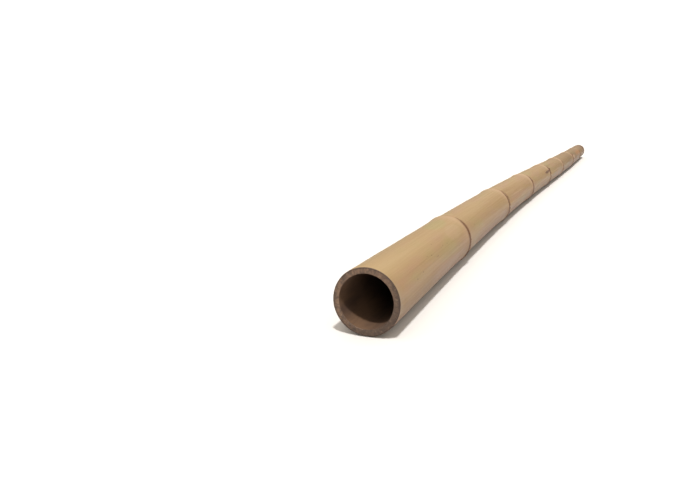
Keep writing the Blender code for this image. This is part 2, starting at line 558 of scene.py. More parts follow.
@dataclass(frozen=True)
class Mark:
    """One soft-edged mark on the skin, by its middle and its reach along and across the grain."""

    middle: Triple
    length: float
    width: float
    colour: Colour
    strength: float


@dataclass(frozen=True)
class SkinFinish:
    """The dry straw-coloured skin, streaked along the grain, with its wax bands and scars, and painted
    highlights and painted shade at the nodes, on the lower side and at the tip.
    """

    straw: Colour = linear(131, 110, 76)
    tan: Colour = linear(126, 102, 68)
    pinkish: Colour = linear(128, 100, 76)
    greenish: Colour = linear(122, 108, 69)
    # also the colour of the painted highlight on each node's swelling
    wax: Colour = linear(141, 117, 92)
    scar: Colour = linear(72, 43, 25)
    ring: Colour = linear(78, 50, 31)
    stain: Colour = linear(92, 69, 43)
    orange: Colour = linear(140, 92, 50)
    # painted shade: a darker, redder tint for the lower side towards -Y
    low_side_shade: Colour = linear(114, 73, 44)
    darker_from: float = 1.4
    darker_to: float = 2.35
    darker: float = 0.55
    # Painted shade: the skin darkens towards the scar colour over the last stretch before the tip, for the
    # dark outline round the tip end.
    tip_shade_from: float = 2.86
    tip_shade_to: float = 2.97
    darkening: float = 0.70
    marks: tuple[Mark, ...] = ()
    roughness: float = 0.40
    sheen: float = 0.18

    def material(self) -> bpy.types.Material:
        """Makes the material.

        Returns:
            The skin's material.
        """
        made = Finish("bamboo_skin", self.roughness)
        step = made.step
        patches = made.grained(7.0, 34.0)
        streaks = made.grained(5.0, 420.0, 4.0, 0.65)
        threads = made.grained(14.0, 2300.0, 2.0)
        ragged = made.grained(40.0, 260.0, 4.0)
        along, outward, upward = made.split(made.attribute("grain"))
        scar, wax, brown = made.split(made.attribute("bands"))
        # the wax band with the painted highlight on each swelling, frayed
        wax_and_highlight = wax * step(ragged, 0.10, 0.55)
        # the lower side towards -Y, which gets painted shade
        low = step(upward, 0.016, -0.022) * step(outward, 0.010, -0.022)
        # the lower side and the -Y side, where the ring bands are painted darker as shade
        shaded_side = made.sum("MAXIMUM", step(outward, -0.010, -0.036), step(upward, 0.010, -0.016))
        flecks = step(made.cells(60.0, 130.0), 0.16, 0.08) * step(made.grained(3.0, 17.0, 1.0), 0.60, 0.66)
        coats = [
            (step(made.grained(1.1, 14.0, 2.0), 0.36, 0.64), self.tan),
            (step(patches, 0.42, 0.74) * 0.80, self.pinkish),
            (step(made.grained(5.0, 26.0, 2.0), 0.50, 0.76) * 0.75, self.greenish),
            (step(streaks, 0.46, 0.82) * 0.15, self.stain),
            (step(threads, 0.55, 0.8) * 0.14, self.wax),
            (step(along, self.darker_from, self.darker_to) * self.darker, self.stain),
            # painted shade just before the tip
            (step(along, self.tip_shade_from, self.tip_shade_to) * self.darkening, self.scar),
            # wax band and painted highlight on each node's swelling
            (wax_and_highlight * 0.85, self.wax),
            # painted shade on the lower side towards -Y, in patches
            (low * (step(patches, 0.30, 0.65) * 0.30 + 0.30), self.low_side_shade),
        ]
        worn = ragged * 0.8 + 0.6
        coats += [(made.within(mark) * worn * mark.strength, mark.colour) for mark in self.marks]
        coats += [
            # painted shade: the brown band and the scar show strong on the lower -Y side and faint on the lit
            # top
            (brown * (shaded_side * 0.84 + 0.06) * (step(ragged, 0.15, 0.60) * 0.35 + 0.65), self.ring),
            (scar * (shaded_side * 0.86 + 0.07) * step(ragged, 0.10, 0.42), self.scar),
            (flecks * 0.75, self.scar),
        ]
        made.painted(self.straw, coats)
        made.feed(made.shader.inputs["Roughness"], streaks * 0.30 + 0.27 + wax_and_highlight * 0.12)
        made.feed(made.shader.inputs["Specular IOR Level"], self.sheen)
        made.bumped(streaks, 0.00035, 0.6)
        made.bumped(threads, 0.00010, 0.6)
        made.bumped(patches, 0.0012, 0.35)
        return made.material


@dataclass(frozen=True)
class SawnFinish:
    """The sawn faces: grey-brown wood with darker fibre ends, crowded towards the skin."""

    wood: Colour = linear(101, 78, 60)
    grey: Colour = linear(73, 57, 44)
    rim: Colour = linear(49, 34, 24)
    bundle: Colour = linear(51, 36, 26)
    pale: Colour = linear(124, 104, 86)
    # how much darker the sawn faces grow towards the bottom and the -Y side
    darkening: float = 0.72
    roughness: float = 0.78

    def material(self) -> bpy.types.Material:
        """Makes the material.

        Returns:
            The sawn faces' material.
        """
        made = Finish("sawn_bamboo", self.roughness)
        step = made.step
        _, depth, _ = made.split(made.attribute("bands"))
        _, out, up = made.split(made.attribute("grain"))
        patches = made.grained(1.0, 160.0, 4.0)
        rough = made.grained(1.0, 330.0, 5.0, 0.7)
        dots = step(depth * 0.20 + 0.22 - made.cells(1.0, 1050.0), -0.05, 0.06)
        coats = [
            (step(patches, 0.40, 0.62), self.grey),
            # darker towards the bottom and the -Y side
            (step(up * 0.8 + out * 0.6, 0.022, -0.040) * self.darkening, self.rim),
            (step(rough, 0.50, 0.66) * 0.50, self.rim),
            (step(rough, 0.46, 0.30) * 0.45, self.pale),
            (dots * 0.75, self.bundle),
            (step(depth + (patches - 0.5) * 0.5, 0.62, 0.98) * 0.85, self.rim),
        ]
        made.painted(self.wood, coats)
        teeth = made.noise(made.mapped(made.attribute("grain"), (1.0, 90.0, 1500.0)), 1.0, 3.0, 0.55)
        made.bumped(teeth, 0.0006, 0.7)
        made.bumped(rough, 0.0009, 0.6)
        made.bumped(dots, 0.0003, 0.5)
        return made.material


@dataclass(frozen=True)
class BoreFinish:
    """The papery lining of the bore, browned with dust."""

    lining: Colour = linear(82, 58, 37)
    dusty: Colour = linear(56, 36, 21)
    roughness: float = 0.85

    def material(self) -> bpy.types.Material:
        """Makes the material.

        Returns:
            The lining's material.
        """
        made = Finish("bore_lining", self.roughness)
        streaks = made.grained(12.0, 380.0)
        lined = made.step(made.grained(9.0, 45.0, 4.0), 0.3, 0.65)
        made.painted(self.dusty, [(lined, self.lining), (made.step(streaks, 0.5, 0.8) * 0.5, self.dusty)])
        made.bumped(streaks, 0.0004, 0.6)
        return made.material


@dataclass(frozen=True)
class BarkFinish:
    """A brown woody finish for stubs, fringes and fibre ends."""

    name: str
    dark: Colour
    light: Colour
    stretch: float = 0.16
    roughness: float = 0.72

    def material(self) -> bpy.types.Material:
        """Makes the material.

        Returns:
            The bark's material.
        """
        made = Finish(self.name, self.roughness)
        place = made.mapped(made.node("ShaderNodeTexCoord", None, "Object"), (self.stretch, 1.0, 1.0))
        made.painted(self.dark, [(made.step(made.noise(place, 420.0, 4.0, 0.55), 0.35, 0.68), self.light)])
        made.bumped(made.noise(place, 1500.0, 3.0, 0.55), 0.00025, 0.6)
        return made.material


def on_cane(piece: bpy.types.Object) -> bpy.types.Object:
    """Gives a piece the cane's body, and hands it back.

    Args:
        piece: The finished piece.

    Returns:
        The same piece.
    """
    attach(piece, "root")
    return piece


def tubes(name: str, forms: list[list[list[Vector]]], finish: BarkFinish) -> bpy.types.Object:
    """Makes a piece of closed tubes.

    Args:
        name: The piece's name.
        forms: Each tube's rings of points, from one end to the other, in the model's frame.
        finish: What it is made of.

    Returns:
        The piece, on the cane.
    """
    building = bmesh.new()
    for rings in forms:
        loops = [[building.verts.new(point) for point in ring] for ring in rings]
        building.faces.new(loops[0])
        building.faces.new(loops[-1])
        for low, high in zip(loops, loops[1:]):
            for step in range(len(low)):
                building.faces.new((low[step - 1], low[step], high[step], high[step - 1]))
    bmesh.ops.recalc_face_normals(building, faces=building.faces)
    mesh = bpy.data.meshes.new(name)
    building.to_mesh(mesh)
    building.free()
    mesh.materials.append(finish.material())
    mesh.shade_smooth()
    mesh.set_sharp_from_angle(angle=math.radians(50.0))
    piece = bpy.data.objects.new(name, mesh)
    bpy.context.scene.collection.objects.link(piece)
    return on_cane(piece)


@dataclass
class Culm:
    """The cane's own body: the skin, the sawn faces, the bore and its inner walls."""

    form: CulmForm
    sides: int = 128
    stride: float = 0.018
    node_gap: float = 0.00035
    node_gap_growth: float = 1.16
    node_rings: int = 26
    bore_rings: int = 8
    arc_rings: int = 6
    wall_dish: float = 0.0012
    bevel: float = 0.0006
    face_rows: int = 9
    dent: float = 0.00035
    bore_off_centre: float = 0.0006
    groove_flat: float = 0.42
    # painted highlight on each node's swelling, with its wax, node by node
    crest_highlights_and_wax: tuple[float, ...] = (0.30, 0.50, 1.00, 1.00, 1.00, 0.80, 0.40)
    scars: tuple[float, ...] = (1.0, 1.0, 0.90, 0.75, 0.30, 0.35, 0.50)
    scar_wander: float = 0.0009
    scar_dip: float = 0.0035
    shift: Vector = field(default_factory=lambda: Vector((0.0, 0.0)))

    def skin_stations(self) -> np.ndarray:
        """Gives where the outside has rings: an even stride, and many rings round each node.

        Returns:
            The stations, from the butt to the tip.
        """
        form = self.form
        offsets = np.cumsum(self.node_gap * self.node_gap_growth ** np.arange(self.node_rings))
        stations = [np.arange(self.bevel * 2.0, form.length - self.bevel, self.stride)]
        for node in form.nodes:
            stations.append(node + np.concatenate((-offsets, [0.0], offsets)))
        joined = np.unique(np.concatenate(stations).round(6))
        last = form.length - self.bevel * 2.0
        kept = joined[(joined >= self.bevel * 2.0) & (joined <= last - 0.004)]
        kept = kept[np.concatenate(([True], np.diff(kept) > 0.0002))]
        return np.append(kept, last)

    def bore_stations(self) -> tuple[np.ndarray, np.ndarray]:
        """Gives the rings of the bore and its inner walls, from the tip back to the butt.

        Returns:
            The stations and the radii.
        """
        form = self.form
        stations: list[float] = []
        radii: list[float] = []
        edges = (0.0, *form.nodes, form.length)
        turn = np.linspace(0.0, math.pi / 2.0, self.arc_rings)
        for number in range(len(form.nodes), -1, -1):
            clear = form.inner_wall / 2.0 + form.inner_wall_fillet
            above = edges[number + 1] - (clear if number < len(form.nodes) else self.bevel * 2.0)
            below = edges[number] + (clear if number > 0 else self.bevel * 2.0)
            run = np.linspace(above, below, self.bore_rings)
            stations.extend(run)
            radii.extend(form.bore(run))
            if number > 0:
                stations_here, radii_here = self.inner_wall_rings(edges[number], turn)
                stations.extend(stations_here)
                radii.extend(radii_here)
        return np.array(stations), np.array(radii)

    def inner_wall_rings(self, node: float, turn: np.ndarray) -> tuple[np.ndarray, np.ndarray]:
        """Gives the rings that round off, face and pierce one inner wall.

        Args:
            node: The node's station.
            turn: The angles of the fillet's arc, from the bore to the wall's face.

        Returns:
            The stations and the radii, from the wall's tipward side to its buttward side.
        """
        form = self.form
        half = form.inner_wall / 2.0
        fillet = form.inner_wall_fillet
        bore = float(form.bore(np.array(node)))
        arc_station = half + fillet * (1.0 - np.sin(turn[1:]))
        arc_radius = bore - fillet * (1.0 - np.cos(turn[1:]))
        face_radius = np.linspace(bore - fillet, form.pierced_radius, self.arc_rings)[1:]
        dish = half - self.wall_dish * np.sin(np.linspace(0.0, math.pi, self.arc_rings)[1:])
        one_station = np.concatenate((arc_station, dish))
        one_radius = np.concatenate((arc_radius, face_radius))
        stations = np.concatenate((node + one_station, node - one_station[::-1]))
        return stations, np.concatenate((one_radius, one_radius[::-1]))

    def sawn_rings(self, end: End) -> tuple[np.ndarray, np.ndarray]:
        """Gives the rings of a sawn face with its two eased rims, from skin to bore.

        Args:
            end: Which of the two ends.

        Returns:
            The stations and the radii.
        """
        form = self.form
        at = np.array(0.0 if end is End.BUTT else form.length)
        inward = 1.0 if end is End.BUTT else -1.0
        outer = float(form.outer(at))
        inner = float(form.bore(at))
        eased = np.array((1.0, 0.3, 0.0))
        rows = np.linspace(outer - self.bevel, inner + self.bevel, self.face_rows)
        stations = np.concatenate((at + inward * self.bevel * eased, np.full(self.face_rows, at)))
        stations = np.concatenate((stations, at + inward * self.bevel * eased[::-1]))
        radii = np.concatenate((outer - self.bevel * (1.0 - eased) * 0.9, rows))
        radii = np.concatenate((radii, inner + self.bevel * (1.0 - eased[::-1]) * 0.9))
        return stations, radii

    def rings(self) -> tuple[np.ndarray, ...]:
        """Gives each ring's station, radius and part: skin, tip face, bore and butt face in turn.

        Returns:
            The three numbers of every ring, in the order in which the surface meets them.
        """
        skin = self.skin_stations()
        butt_stations, butt_radii = self.sawn_rings(End.BUTT)
        runs = (
            (skin, self.form.outer(skin), Part.SKIN),
            (*self.sawn_rings(End.TIP), Part.SAWN),
            (*self.bore_stations(), Part.BORE),
            (butt_stations[::-1], butt_radii[::-1], Part.SAWN),
        )
        columns = zip(*((run, radii, np.full(len(run), float(part.value))) for run, radii, part in runs))
        return tuple(np.concatenate(column) for column in columns)

    def bands(self, station: np.ndarray, near_skin: np.ndarray, part: np.ndarray) -> tuple[np.ndarray, ...]:
        """Gives each ring's colour bands.

        Args:
            station: The rings' stations.
            near_skin: How near the skin they are, from 0 in the bore to 1 outside.
            part: The kind of surface of each ring.

        Returns:
            Three shares for each ring. On the skin they are the thin scar, the wax with a painted
            highlight on each swelling, and the brown band past the scar with painted shade in it; on a
            sawn face the second is how near the skin it is.
        """
        scar, wax, brown = np.zeros((3, len(station)))
        for node, scarred, crest_highlight_and_wax in zip(self.form.nodes, self.scars, self.crest_highlights_and_wax):
            past = station - node
            scar += scarred * hump(past + 0.0010, 0.0036)
            before, after = np.minimum(0.0, past), np.maximum(0.0, past - 0.007)
            # the brown band past the scar: partly brown skin, partly painted shade of the hollow behind the
            # ring's step
            brown += scarred * hump(before, 0.0060) * hump(after, 0.006)
            wax += 0.45 * np.clip(1.0 + past / 0.055, 0.0, 1.0) * (past < 0.0)
            # painted highlight on the swelling before each scar, with its wax
            wax += crest_highlight_and_wax * hump(past + 0.0120, 0.0110)
        skin = part == Part.SKIN.value
        return scar * skin, np.where(part == Part.SAWN.value, near_skin, wax * skin), brown * skin

    def profile(self) -> bpy.types.Mesh:
        """Makes the mesh of one point for each ring, which the node tree reads.

        Returns:
            The mesh, with what each ring carries as its attributes.
        """
        form = self.form
        station, radius, part = self.rings()
        skin = (part == Part.SKIN.value).astype(float)
        bore = form.bore(station)
        near_skin = np.clip((radius - bore) / (form.outer(station) - bore), 0.0, 1.0)
        off_centre = self.bore_off_centre * (1.0 - near_skin) * (1.0 - skin)
        along = station - form.length / 2.0 + self.shift.x
        across = form.sideways(station) + self.shift.y + off_centre
        near_ends = np.minimum(1.0, np.minimum(station, form.length - station) / 0.05)
        grooves = (form.groove(station, odd) * skin for odd in (False, True))
        buds = (form.bud(station, odd) * skin for odd in (False, True))
        columns = {
            "middle": (along, across, form.height(station)),
            "lean": (form.slope(station), form.near_node(station, 0.012) * skin, part),
            "hollows": (*grooves, form.oval * radius * skin),
            "buds": (*buds, near_ends * skin),
            "bands": self.bands(station, near_skin, part),
        }
        mesh = bpy.data.meshes.new("culm_profile")
        mesh.from_pydata(np.stack((station, np.zeros_like(station), radius), -1).tolist(), [], [])
        for name, values in columns.items():
            keep_vectors(mesh, name, np.stack(values, -1))
        return mesh

    def surface(self, profile: bpy.types.Mesh) -> bpy.types.Object:
        """Sweeps the rings round into the culm's closed surface.

        Args:
            profile: The mesh of one point for each ring.

        Returns:
            The culm as a plain mesh.
        """
        form = self.form
        finishes = (SkinFinish(marks=self.marks()), SawnFinish(), BoreFinish())
        graph = Graph("culm_surface")
        sides = graph.size("Sides", self.sides)
        rings = graph.size("Rings", len(profile.vertices))
        first_side = graph.size("First bud side", math.radians(form.first_bud_side))
        half_width = graph.size("Groove half width", math.radians(form.groove_half_width))
        bud_width = graph.size("Bud half width", math.radians(form.bud_half_width))
        oval_side = graph.size("Oval side", math.radians(form.oval_side))
        flat = graph.size("Groove flat share", self.groove_flat)
        dent = graph.size("Dents", self.dent)
        wander = graph.size("Scar wander", self.scar_wander)
        dip = graph.size("Scar dip", self.scar_dip)
        columns = sides + 1.0
        grid = graph.node("GeometryNodeMeshGrid", {"Vertices X": rings + 1.0, "Vertices Y": columns}, "Mesh")
        index = graph.node("GeometryNodeInputIndex")
        row = graph.sum("FLOOR", (index + 0.5) / columns)
        ring = graph.sum("MODULO", row, rings)
        side = graph.sum("MODULO", index - row * columns, sides) / sides * (2.0 * math.pi)
        cosine, sine = graph.sum("COSINE", side), graph.sum("SINE", side)

        def ringed(name: str) -> Value:
            """Reads an attribute of the ring that a point of the grid belongs to."""
            return graph.sampled(graph.attribute(name), ring)

        station, _, radius = graph.split(graph.sampled(graph.node("GeometryNodeInputPosition"), ring))
        slope, near_node, part = graph.split(ringed("lean"))
        even, odd, oval = graph.split(ringed("hollows"))
        even_bud, odd_bud, skin = graph.split(ringed("buds"))

        def shaken(along: float, across: float, scale: float, detail: float) -> Value:
            """Gives an even noise from -0.5 to 0.5 that closes round the culm."""
            spot = graph.vector(station * along, cosine * across, sine * across)
            return graph.noise(spot, scale, detail) - 0.5

        relief = oval * graph.sum("COSINE", (side - oval_side) * 2.0)
        dips = []
        for depth, height, turn in ((even, even_bud, 0.0), (odd, odd_bud, math.pi)):
            off = graph.sum("ABSOLUTE", graph.sum("WRAP", side - (first_side + turn), math.pi, -math.pi))
            lobe = graph.clamped((off / half_width - flat) / (1.0 - flat))
            lobe = graph.sum("COSINE", lobe * math.pi) * 0.5 + 0.5
            bulge = graph.sum("EXPONENT", graph.sum("POWER", off / bud_width, 2.0) * -1.0)
            relief = relief - depth * lobe + height * bulge
            dips.append(graph.sum("GREATER_THAN", height, 0.0002) * lobe)
        relief = relief + shaken(5.0, 1.1, 1.6, 3.0) * (dent * skin) * 2.0
        slide = (shaken(9.0, 2.4, 2.0, 4.0) * (wander * 2.0) - (dips[0] + dips[1]) * dip) * near_node
        out, up = (radius + relief) * cosine, (radius + relief) * sine
        offset = graph.vector(slide - out * slope, out, up)
        surface = graph.placed(grid, graph.vectors("ADD", {0: ringed("middle"), 1: offset}))
        surface = graph.stored(surface, "grain", graph.vector(station, out, up))
        surface = graph.stored(surface, "bands", ringed("bands"))
        surface = graph.stored(surface, "part", part, "FLOAT")
        surface = graph.node("GeometryNodeMergeByDistance", {0: surface, "Distance": 1e-6})
        surface = graph.node("GeometryNodeFlipFaces", {0: surface})
        surface = graph.real(graph.node("GeometryNodeSetShadeSmooth", {0: surface}))
        for kind, finish in zip(Part, finishes):
            chosen = graph.sum("GREATER_THAN", graph.attribute("part", "FLOAT"), kind.value - 0.5)
            surface = graph.dressed(surface, finish.material(), chosen)
        return graph.grow(surface, "culm", profile)

    def settle(self) -> None:
        """Works out how far the culm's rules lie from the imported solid's place."""
        low, high = (Vector(corner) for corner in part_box(CANE_NODE))
        probe = np.linspace(0.0, self.form.length, 601)
        side = self.form.sideways(probe)
        radius = self.form.outer(probe)
        across = (low.y + high.y) / 2.0 - ((side - radius).min() + (side + radius).max()) / 2.0
        butt_lean = float(self.form.radius(np.array(0.0)) * self.form.slope(np.array(0.0)))
        along = low.x + self.form.length / 2.0 + abs(butt_lean)
        self.shift = Vector((along, across))

    def build(self) -> bpy.types.Object:
        """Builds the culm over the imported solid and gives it.

        Returns:
            The culm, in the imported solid's place.
        """
        self.settle()
        culm = self.surface(self.profile())
        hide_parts(CANE_NODE)
        return on_cane(culm)

    def mark(
        self, station: float, side: float, size: tuple[float, float], colour: Colour, strength: float
    ) -> Mark:
        """Makes a mark from its place on the skin.

        Args:
            station: The distance of its middle from the butt.
            side: Degrees round the cane, from +Y up to +Z.
            size: Its reach along and across the grain.
            colour: Its colour.
            strength: How strong its colour is, from 0 to 1.

        Returns:
            The mark in the straightened grain's coordinates.
        """
        radius = self.surface_radius(station, side)
        turn = math.radians(side)
        return Mark((station, radius * math.cos(turn), radius * math.sin(turn)), *size, colour, strength)

    def marks(self) -> tuple[Mark, ...]:
        """Gives the marks that the years left on the skin, the painted highlight and painted shade along the
        grooves' creases, and the dark husk of each bud.

        Returns:
            The marks, in the order in which they are laid.
        """
        finish = SkinFinish()
        marks = [
            self.mark(1.572, 149.0, (0.055, 0.0038), finish.scar, 0.35),
            self.mark(2.430, 157.0, (0.060, 0.0130), finish.scar, 0.50),
            self.mark(2.430, 157.0, (0.042, 0.0088), finish.wax, 0.85),
            self.mark(2.620, 146.0, (0.100, 0.0120), finish.orange, 0.42),
            # painted highlight: a pale line along a groove's crease
            self.mark(1.000, 152.0, (0.130, 0.0016), finish.wax, 0.75),
            # painted shade below that crease
            self.mark(1.010, 164.0, (0.150, 0.0060), finish.pinkish, 0.60),
            # painted highlight: a pale line along the next groove's crease
            self.mark(1.750, 165.0, (0.110, 0.0016), finish.wax, 0.70),
            self.mark(0.320, 92.0, (0.050, 0.0150), finish.greenish, 0.75),
            self.mark(0.335, 135.0, (0.045, 0.0140), finish.wax, 0.35),
            self.mark(0.250, 190.0, (0.090, 0.0120), finish.pinkish, 0.70),
            self.mark(0.290, 205.0, (0.0012, 0.0011), finish.scar, 0.85),
            self.mark(0.205, 128.0, (0.0016, 0.0009), finish.scar, 0.60),
            self.mark(0.330, 168.0, (0.0022, 0.0008), finish.scar, 0.60),
            self.mark(0.640, 175.0, (0.0030, 0.0010), finish.scar, 0.55),
            self.mark(1.020, 160.0, (0.0034, 0.0012), finish.stain, 0.80),
        ]
        for number, node in enumerate(self.form.nodes):
            side = self.form.bud_side(number)
            marks.append(self.mark(node + 0.0060, side, (0.0085, 0.0048), finish.scar, 0.70))
        return tuple(marks)

    def middle(self, station: float) -> Vector:
        """Gives the middle line's place at a station.

        Args:
            station: Where to measure, in metres from the butt.

        Returns:
            The place in the model's frame.
        """
        at = np.array(float(station))
        along = station - self.form.length / 2.0 + self.shift.x
        return Vector((along, float(self.form.sideways(at)) + self.shift.y, float(self.form.height(at))))

    def place(self, station: float, side: float, radius: float) -> Vector:
        """Gives the place at a radius on a side of the culm, square to its middle line.

        Args:
            station: The distance from the butt, in metres.
            side: Degrees round the cane, from +Y up to +Z.
            radius: The distance from the middle line.

        Returns:
            The place in the model's frame.
        """
        across = radius * math.cos(math.radians(side))
        lean = -across * float(self.form.slope(np.array(float(station))))
        return self.middle(station) + Vector((lean, across, radius * math.sin(math.radians(side))))

    def surface_radius(self, station: float, side: float) -> float:
        """Gives the outer radius on a side, with the rings, grooves, buds and oval.

        Args:
            station: Where to measure, in metres from the butt.
            side: Degrees round the cane, from +Y up to +Z.

        Returns:
            The radius in metres.
        """
        at = np.array([float(station)])
        form = self.form
        total = float(form.outer(at)[0])
        total += float(form.oval * form.radius(at)[0]) * math.cos(math.radians(2.0 * (side - form.oval_side)))
        for odd in (False, True):
            off = abs((side - form.bud_side(int(odd)) + 180.0) % 360.0 - 180.0)
            lobe = 0.5 + 0.5 * math.cos(math.pi * min(1.0, off / form.groove_half_width))
            total -= float(form.groove(at, odd)[0]) * lobe
            total += float(form.bud(at, odd)[0]) * math.exp(-((off / form.bud_half_width) ** 2))
        return total


@dataclass(frozen=True)
class Stub:
    """One trimmed branch, with its sizes when trimmed long and its turn from the bud's side."""

    radius: float
    height: float
    past_node: float
    turn: float


@dataclass
class BranchStubs:
    """The trimmed branches: a thick and a thin one at each branched node."""

    culm: Culm
    first_node: int = 3
    stubs: tuple[Stub, ...] = (Stub(0.0046, 0.0090, 0.0130, -4.0), Stub(0.0032, 0.0050, 0.0060, 7.0))
    trimmed: tuple[float, ...] = (0.3, 0.75, 0.35, 0.6)
    lean: float = 30.0
    root: float = 0.0040
    tip_share: float = 0.85
    collar: float = 0.0022
    sides: int = 36

    def outline(self, stub: Stub, height: float) -> list[tuple[float, float]]:
        """Gives the stub's outline: its height above the skin and its radius, ring by ring.

        Args:
            stub: The branch.
            height: How far it stands out of the skin.

        Returns:
            The heights and the radii, from the root up.
        """
        foot = [(-self.root, stub.radius * 1.05 + self.collar)]
        flare = [
            (height * 0.9 * share, stub.radius * (1.0 - 0.15 * share) + self.collar * (1.0 - share) ** 3)
            for share in np.linspace(0.0, 1.0, 9)
        ]
        top = stub.radius * self.tip_share
        eased = [(height * 0.97, top * 0.97), (height, top * 0.90)]
        return foot + flare + eased + [(height - 0.0001, top * 0.6), (height - 0.0005, top * 0.25)]

    def one(self, number: int, stub: Stub, trimmed: float) -> list[list[Vector]]:
        """Makes one stub's rings of points.

        Args:
            number: The node's number, from 0.
            stub: The branch.
            trimmed: How much of its height is left.

        Returns:
            The rings, from the root up.
        """
        station = self.culm.form.nodes[number] + stub.past_node
        side = self.culm.form.bud_side(number) + stub.turn
        foot = self.culm.place(station, side, self.culm.surface_radius(station, side))
        outward = (foot - self.culm.place(station, side, 0.0)).normalized()
        lean = math.radians(self.lean)
        axis = (outward * math.cos(lean) + Vector((1.0, 0.0, 0.0)) * math.sin(lean)).normalized()
        turned = axis.to_track_quat("Z", "Y")
        rings = []
        for level, (reach, radius) in enumerate(self.outline(stub, stub.height * trimmed)):
            rings.append([])
            for step in range(self.sides):
                angle = 2.0 * math.pi * step / self.sides
                rough = 1.0 + 0.035 * math.sin(3.0 * angle + number) + 0.02 * math.sin(11.0 * angle + level)
                flat = Vector((math.cos(angle), math.sin(angle), 0.0)) * radius * rough
                rings[-1].append(foot + axis * reach + turned @ flat)
        return rings

    def build(self) -> bpy.types.Object:
        """Builds the stubs in one piece and gives it.

        Returns:
            The stubs.
        """
        numbered = enumerate(self.trimmed, self.first_node)
        stubs = [self.one(number, stub, trimmed) for number, trimmed in numbered for stub in self.stubs]
        return tubes("branch_stubs", stubs, BarkFinish("stub_bark", linear(58, 38, 26), linear(104, 74, 50)))


@dataclass
class SheathStrip:
    """A torn strip of old sheath, stuck to the skin before the fourth node and curled at its edges."""

    culm: Culm
    start: float = 1.524
    end: float = 1.6155
    start_side: float = 151.0
    end_side: float = 147.5
    half_width: float = 0.0031
    lift: float = 0.0011
    sunk: float = 0.0012
    skin_radius: float = 0.037
    rows: int = 60
    columns: int = 10

    def outline(self, along: float) -> list[Vector]:
        """Gives the points round the strip at a share of its length, over it and back under it.

        Args:
            along: The share of its length, from 0 to 1.

        Returns:
            The points, all the way round.
        """
        station = self.start + (self.end - self.start) * along
        side = self.start_side + (self.end_side - self.start_side) * along
        fray = 0.35 + 0.65 * math.sin(math.pi * min(1.0, 0.05 + 1.1 * along)) + 0.07 * math.sin(19.0 * along)
        raised = self.lift * (0.35 + 0.65 * math.sin(math.pi * along)) + 0.0002 * math.sin(11.0 * along)
        curl = 0.0004 + 0.0004 * math.sin(5.0 * along)
        over, under = [], []
        for column in range(self.columns + 1):
            across = 2.0 * column / self.columns - 1.0
            width = self.half_width * fray * (1.0 + 0.05 * math.sin(61.0 * along + 3.0 * across))
            turned = side + math.degrees(across * width / self.skin_radius)
            radius = self.culm.surface_radius(station, turned) + raised + curl * across**2
            over.append(self.culm.place(station, turned, radius))
            under.append(self.culm.place(station, turned, radius - self.lift - self.sunk))
        return over + under[::-1]

    def build(self) -> bpy.types.Object:
        """Builds the strip as a closed thin sheet and gives it.

        Returns:
            The strip.
        """
        rings = [self.outline(row / self.rows) for row in range(self.rows + 1)]
        dry = BarkFinish("old_sheath", linear(60, 36, 19), linear(104, 72, 43), 0.05)
        return tubes("sheath_strip", [rings], dry)


@dataclass
class SheathFringe:
    """The ragged fringe of fibres that the fallen sheaths left on the scars."""

    culm: Culm
    fibres: int = 260
    length: float = 0.0026
    width: float = 0.00055
    point: float = 0.00008
    before_scar: float = 0.0004
    sunk: float = 0.00015
    seed: int = 11

    def rings(self) -> bpy.types.Mesh:
        """Makes a closed ring of edges on each scar, with the way out at each point.

        Returns:
            The rings' mesh.
        """
        points, edges, ways = [], [], []
        for node in self.culm.form.nodes:
            first = len(points)
            for step in range(self.fibres):
                side = 360.0 * step / self.fibres
                station = node - self.before_scar
                radius = self.culm.surface_radius(station, side) - self.sunk
                place = self.culm.place(station, side, radius)
                points.append(place)
                ways.append((place - self.culm.place(node, side, 0.0)).normalized())
                edges.append((first + step, first + (step + 1) % self.fibres))
        mesh = bpy.data.meshes.new("scar_rings")
        mesh.from_pydata(points, edges, [])
        keep_vectors(mesh, "way_out", ways)
        return mesh

    def build(self) -> bpy.types.Object:
        """Sets a small fibre on each point of the rings, in one piece, and gives it.

        Returns:
            The fringe.
        """
        graph = Graph("sheath_fringe")
        length = graph.size("Fibre length", self.length)
        width = graph.size("Fibre width", self.width)
        seed = graph.size("Seed", self.seed)
        way_out = graph.attribute("way_out")
        _, out, up = graph.split(way_out)
        tipward = graph.drawn((0.4, -0.3, -0.3), (1.3, 0.3, 0.3), seed)
        way = graph.vectors("ADD", {0: tipward, 1: graph.scaled(way_out, width + 0.9)})
        turn = graph.node("FunctionNodeAlignRotationToVector", {"Vector": way}, axis="Z")
        worn = graph.clamped(graph.sum("MAXIMUM", out * -0.90 + 0.15, up * -0.60 + 0.35), 0.20)
        sizes = graph.scaled(graph.drawn((0.45, 0.4, 0.5), (1.5, 1.1, 1.5), seed), worn)
        fibres = graph.set_on(graph.geometry, graph.peg(5, self.point, width, length), turn, sizes)
        fibres = graph.placed(fibres, graph.node("GeometryNodeInputPosition"))
        fibre = BarkFinish("sheath_fibre", linear(76, 46, 26), linear(116, 76, 44)).material()
        return on_cane(graph.grow(graph.dressed(fibres, fibre), "sheath_fringe", self.rings()))


